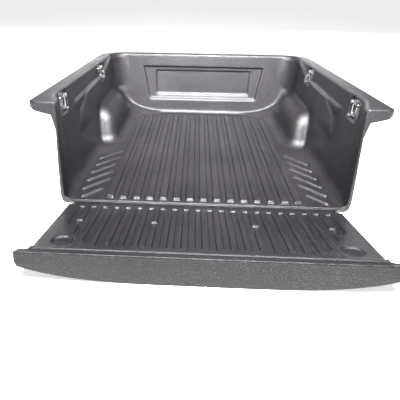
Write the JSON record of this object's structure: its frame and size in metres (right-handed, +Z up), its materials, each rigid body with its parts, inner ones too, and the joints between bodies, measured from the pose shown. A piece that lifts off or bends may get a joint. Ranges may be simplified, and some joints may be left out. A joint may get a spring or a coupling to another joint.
{
  "type": "truck bed liner",
  "caption": "Over-rail plastic liner for a pickup cargo bed: ribbed floor, wheel arches, bulkhead, swinging chrome tie-down rings and a hinged grooved tailgate panel.",
  "frame": {"origin": "bottom centre of the whole object's box, on the ground, as the liner stands with its tailgate panel open", "axes": "+Y points to the cab and bulkhead, +X is the right side of the truck seen from behind, +Z is up"},
  "size_m": [1.668, 2.2814, 0.53],
  "materials": {
    "liner_plastic": "charcoal black polyethylene sheet with a fine pebble grain and a satin sheen",
    "chrome_steel": "bright chrome plate on pressed and bent steel",
    "zinc_steel": "zinc-plated hexagon bolts",
    "black_steel": "black coated screws and cup washers"
  },
  "bodies": {
    "tub": {"tub_liner": "liner_plastic", "left_rear_tie_down_plate": "chrome_steel", "left_rear_ring_pin": "chrome_steel", "left_rear_plate_bolt_1": "zinc_steel", "left_rear_plate_bolt_2": "zinc_steel", "left_front_tie_down_plate": "chrome_steel", "left_front_ring_pin": "chrome_steel", "left_front_plate_bolt_1": "zinc_steel", "left_front_plate_bolt_2": "zinc_steel", "right_rear_tie_down_plate": "chrome_steel", "right_rear_ring_pin": "chrome_steel", "right_rear_plate_bolt_1": "zinc_steel", "right_rear_plate_bolt_2": "zinc_steel", "right_front_tie_down_plate": "chrome_steel", "right_front_ring_pin": "chrome_steel", "right_front_plate_bolt_1": "zinc_steel", "right_front_plate_bolt_2": "zinc_steel"},
    "tailgate": {"tailgate_liner": "liner_plastic", "left_outer_gate_washer": "black_steel", "left_outer_gate_screw": "black_steel", "left_inner_gate_washer": "black_steel", "left_inner_gate_screw": "black_steel", "right_inner_gate_washer": "black_steel", "right_inner_gate_screw": "black_steel", "right_outer_gate_washer": "black_steel", "right_outer_gate_screw": "black_steel"},
    "left_rear_ring": {"left_rear_tie_down_ring": "chrome_steel"},
    "left_front_ring": {"left_front_tie_down_ring": "chrome_steel"},
    "right_rear_ring": {"right_rear_tie_down_ring": "chrome_steel"},
    "right_front_ring": {"right_front_tie_down_ring": "chrome_steel"}
  },
  "joints": [
    {"name": "tailgate_hinge", "type": "hinge", "parent": "tub", "child": "tailgate", "pos_m": [0, -0.58083, 0.012], "axis": [-1, 0, 0], "range_deg": [0, 80.7]},
    {"name": "left_rear_ring_swing", "type": "hinge", "parent": "tub", "child": "left_rear_ring", "pos_m": [-0.7547, -0.27283, 0.48195], "axis": [0, -1, 0], "range_deg": [-2, 110]},
    {"name": "left_front_ring_swing", "type": "hinge", "parent": "tub", "child": "left_front_ring", "pos_m": [-0.7547, 0.58717, 0.46588], "axis": [0, -1, 0], "range_deg": [-2, 110]},
    {"name": "right_rear_ring_swing", "type": "hinge", "parent": "tub", "child": "right_rear_ring", "pos_m": [0.7547, -0.27283, 0.48195], "axis": [0, 1, 0], "range_deg": [-2, 110]},
    {"name": "right_front_ring_swing", "type": "hinge", "parent": "tub", "child": "right_front_ring", "pos_m": [0.7547, 0.58717, 0.46588], "axis": [0, 1, 0], "range_deg": [-2, 110]}
  ]
}
